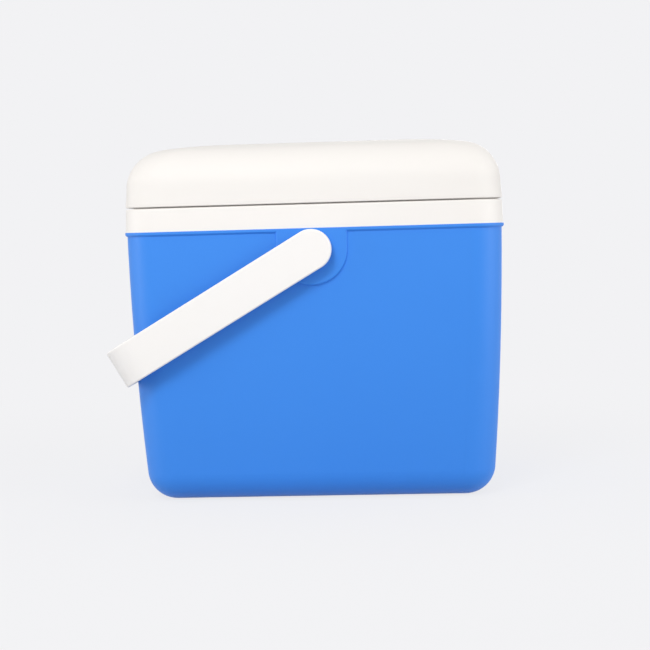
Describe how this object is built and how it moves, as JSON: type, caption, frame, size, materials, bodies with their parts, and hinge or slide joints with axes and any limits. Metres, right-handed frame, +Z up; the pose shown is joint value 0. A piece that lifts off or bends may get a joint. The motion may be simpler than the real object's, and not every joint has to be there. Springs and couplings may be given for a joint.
{
  "type": "vaccine carrier",
  "caption": "Insulated vaccine carrier: tapered blue tub with a white collar, a domed lift-off lid with a sealed plug, a swing-over bail handle, and coolant packs round a central compartment.",
  "frame": {"origin": "middle of the flat underside the carrier stands on", "axes": "+X along the carrier's length, away from the side the handle rests on; +Y toward the back long side; +Z up through the lid"},
  "size_m": [0.3174, 0.2504, 0.2864],
  "materials": {
    "shell_blue": "satin moulded polyethylene, fine texture",
    "liner_white": "satin moulded white plastic",
    "lid_white": "satin moulded white plastic",
    "handle_white": "satin moulded white plastic",
    "foam": "rigid foamed-in-place polyurethane",
    "pad_foam": "soft closed-cell foam",
    "seal_rubber": "soft grey rubber",
    "pack_plastic": "translucent blow-moulded polyethylene, water-filled",
    "plug_plastic": "satin moulded plastic"
  },
  "bodies": {
    "cabinet": {"outer_shell": "shell_blue", "body_insulation": "foam", "inner_liner": "liner_white", "coolant_pack_front_left": "pack_plastic", "coolant_pack_front_right": "pack_plastic", "coolant_pack_back_left": "pack_plastic", "coolant_pack_back_right": "pack_plastic", "coolant_pack_end_left": "pack_plastic", "coolant_pack_end_right": "pack_plastic", "filler_plug_front_left": "plug_plastic", "filler_plug_front_right": "plug_plastic", "filler_plug_back_left": "plug_plastic", "filler_plug_back_right": "plug_plastic", "filler_plug_end_left": "plug_plastic", "filler_plug_end_right": "plug_plastic"},
    "lid": {"lid_shell": "lid_white", "lid_insulation": "foam", "lid_tray": "liner_white", "lid_gasket": "seal_rubber", "vial_pad": "pad_foam"},
    "handle": {"carry_handle": "handle_white"}
  },
  "joints": [
    {"name": "handle_swing", "type": "hinge", "parent": "cabinet", "child": "handle", "pos_m": [0, 0, 0.1998], "axis": [0, 1, 0], "range_deg": [0, 240.6]},
    {"name": "lid_lift", "type": "slide", "parent": "cabinet", "child": "lid", "axis": [0, 0, 1], "range_m": [0, 0.15]}
  ]
}
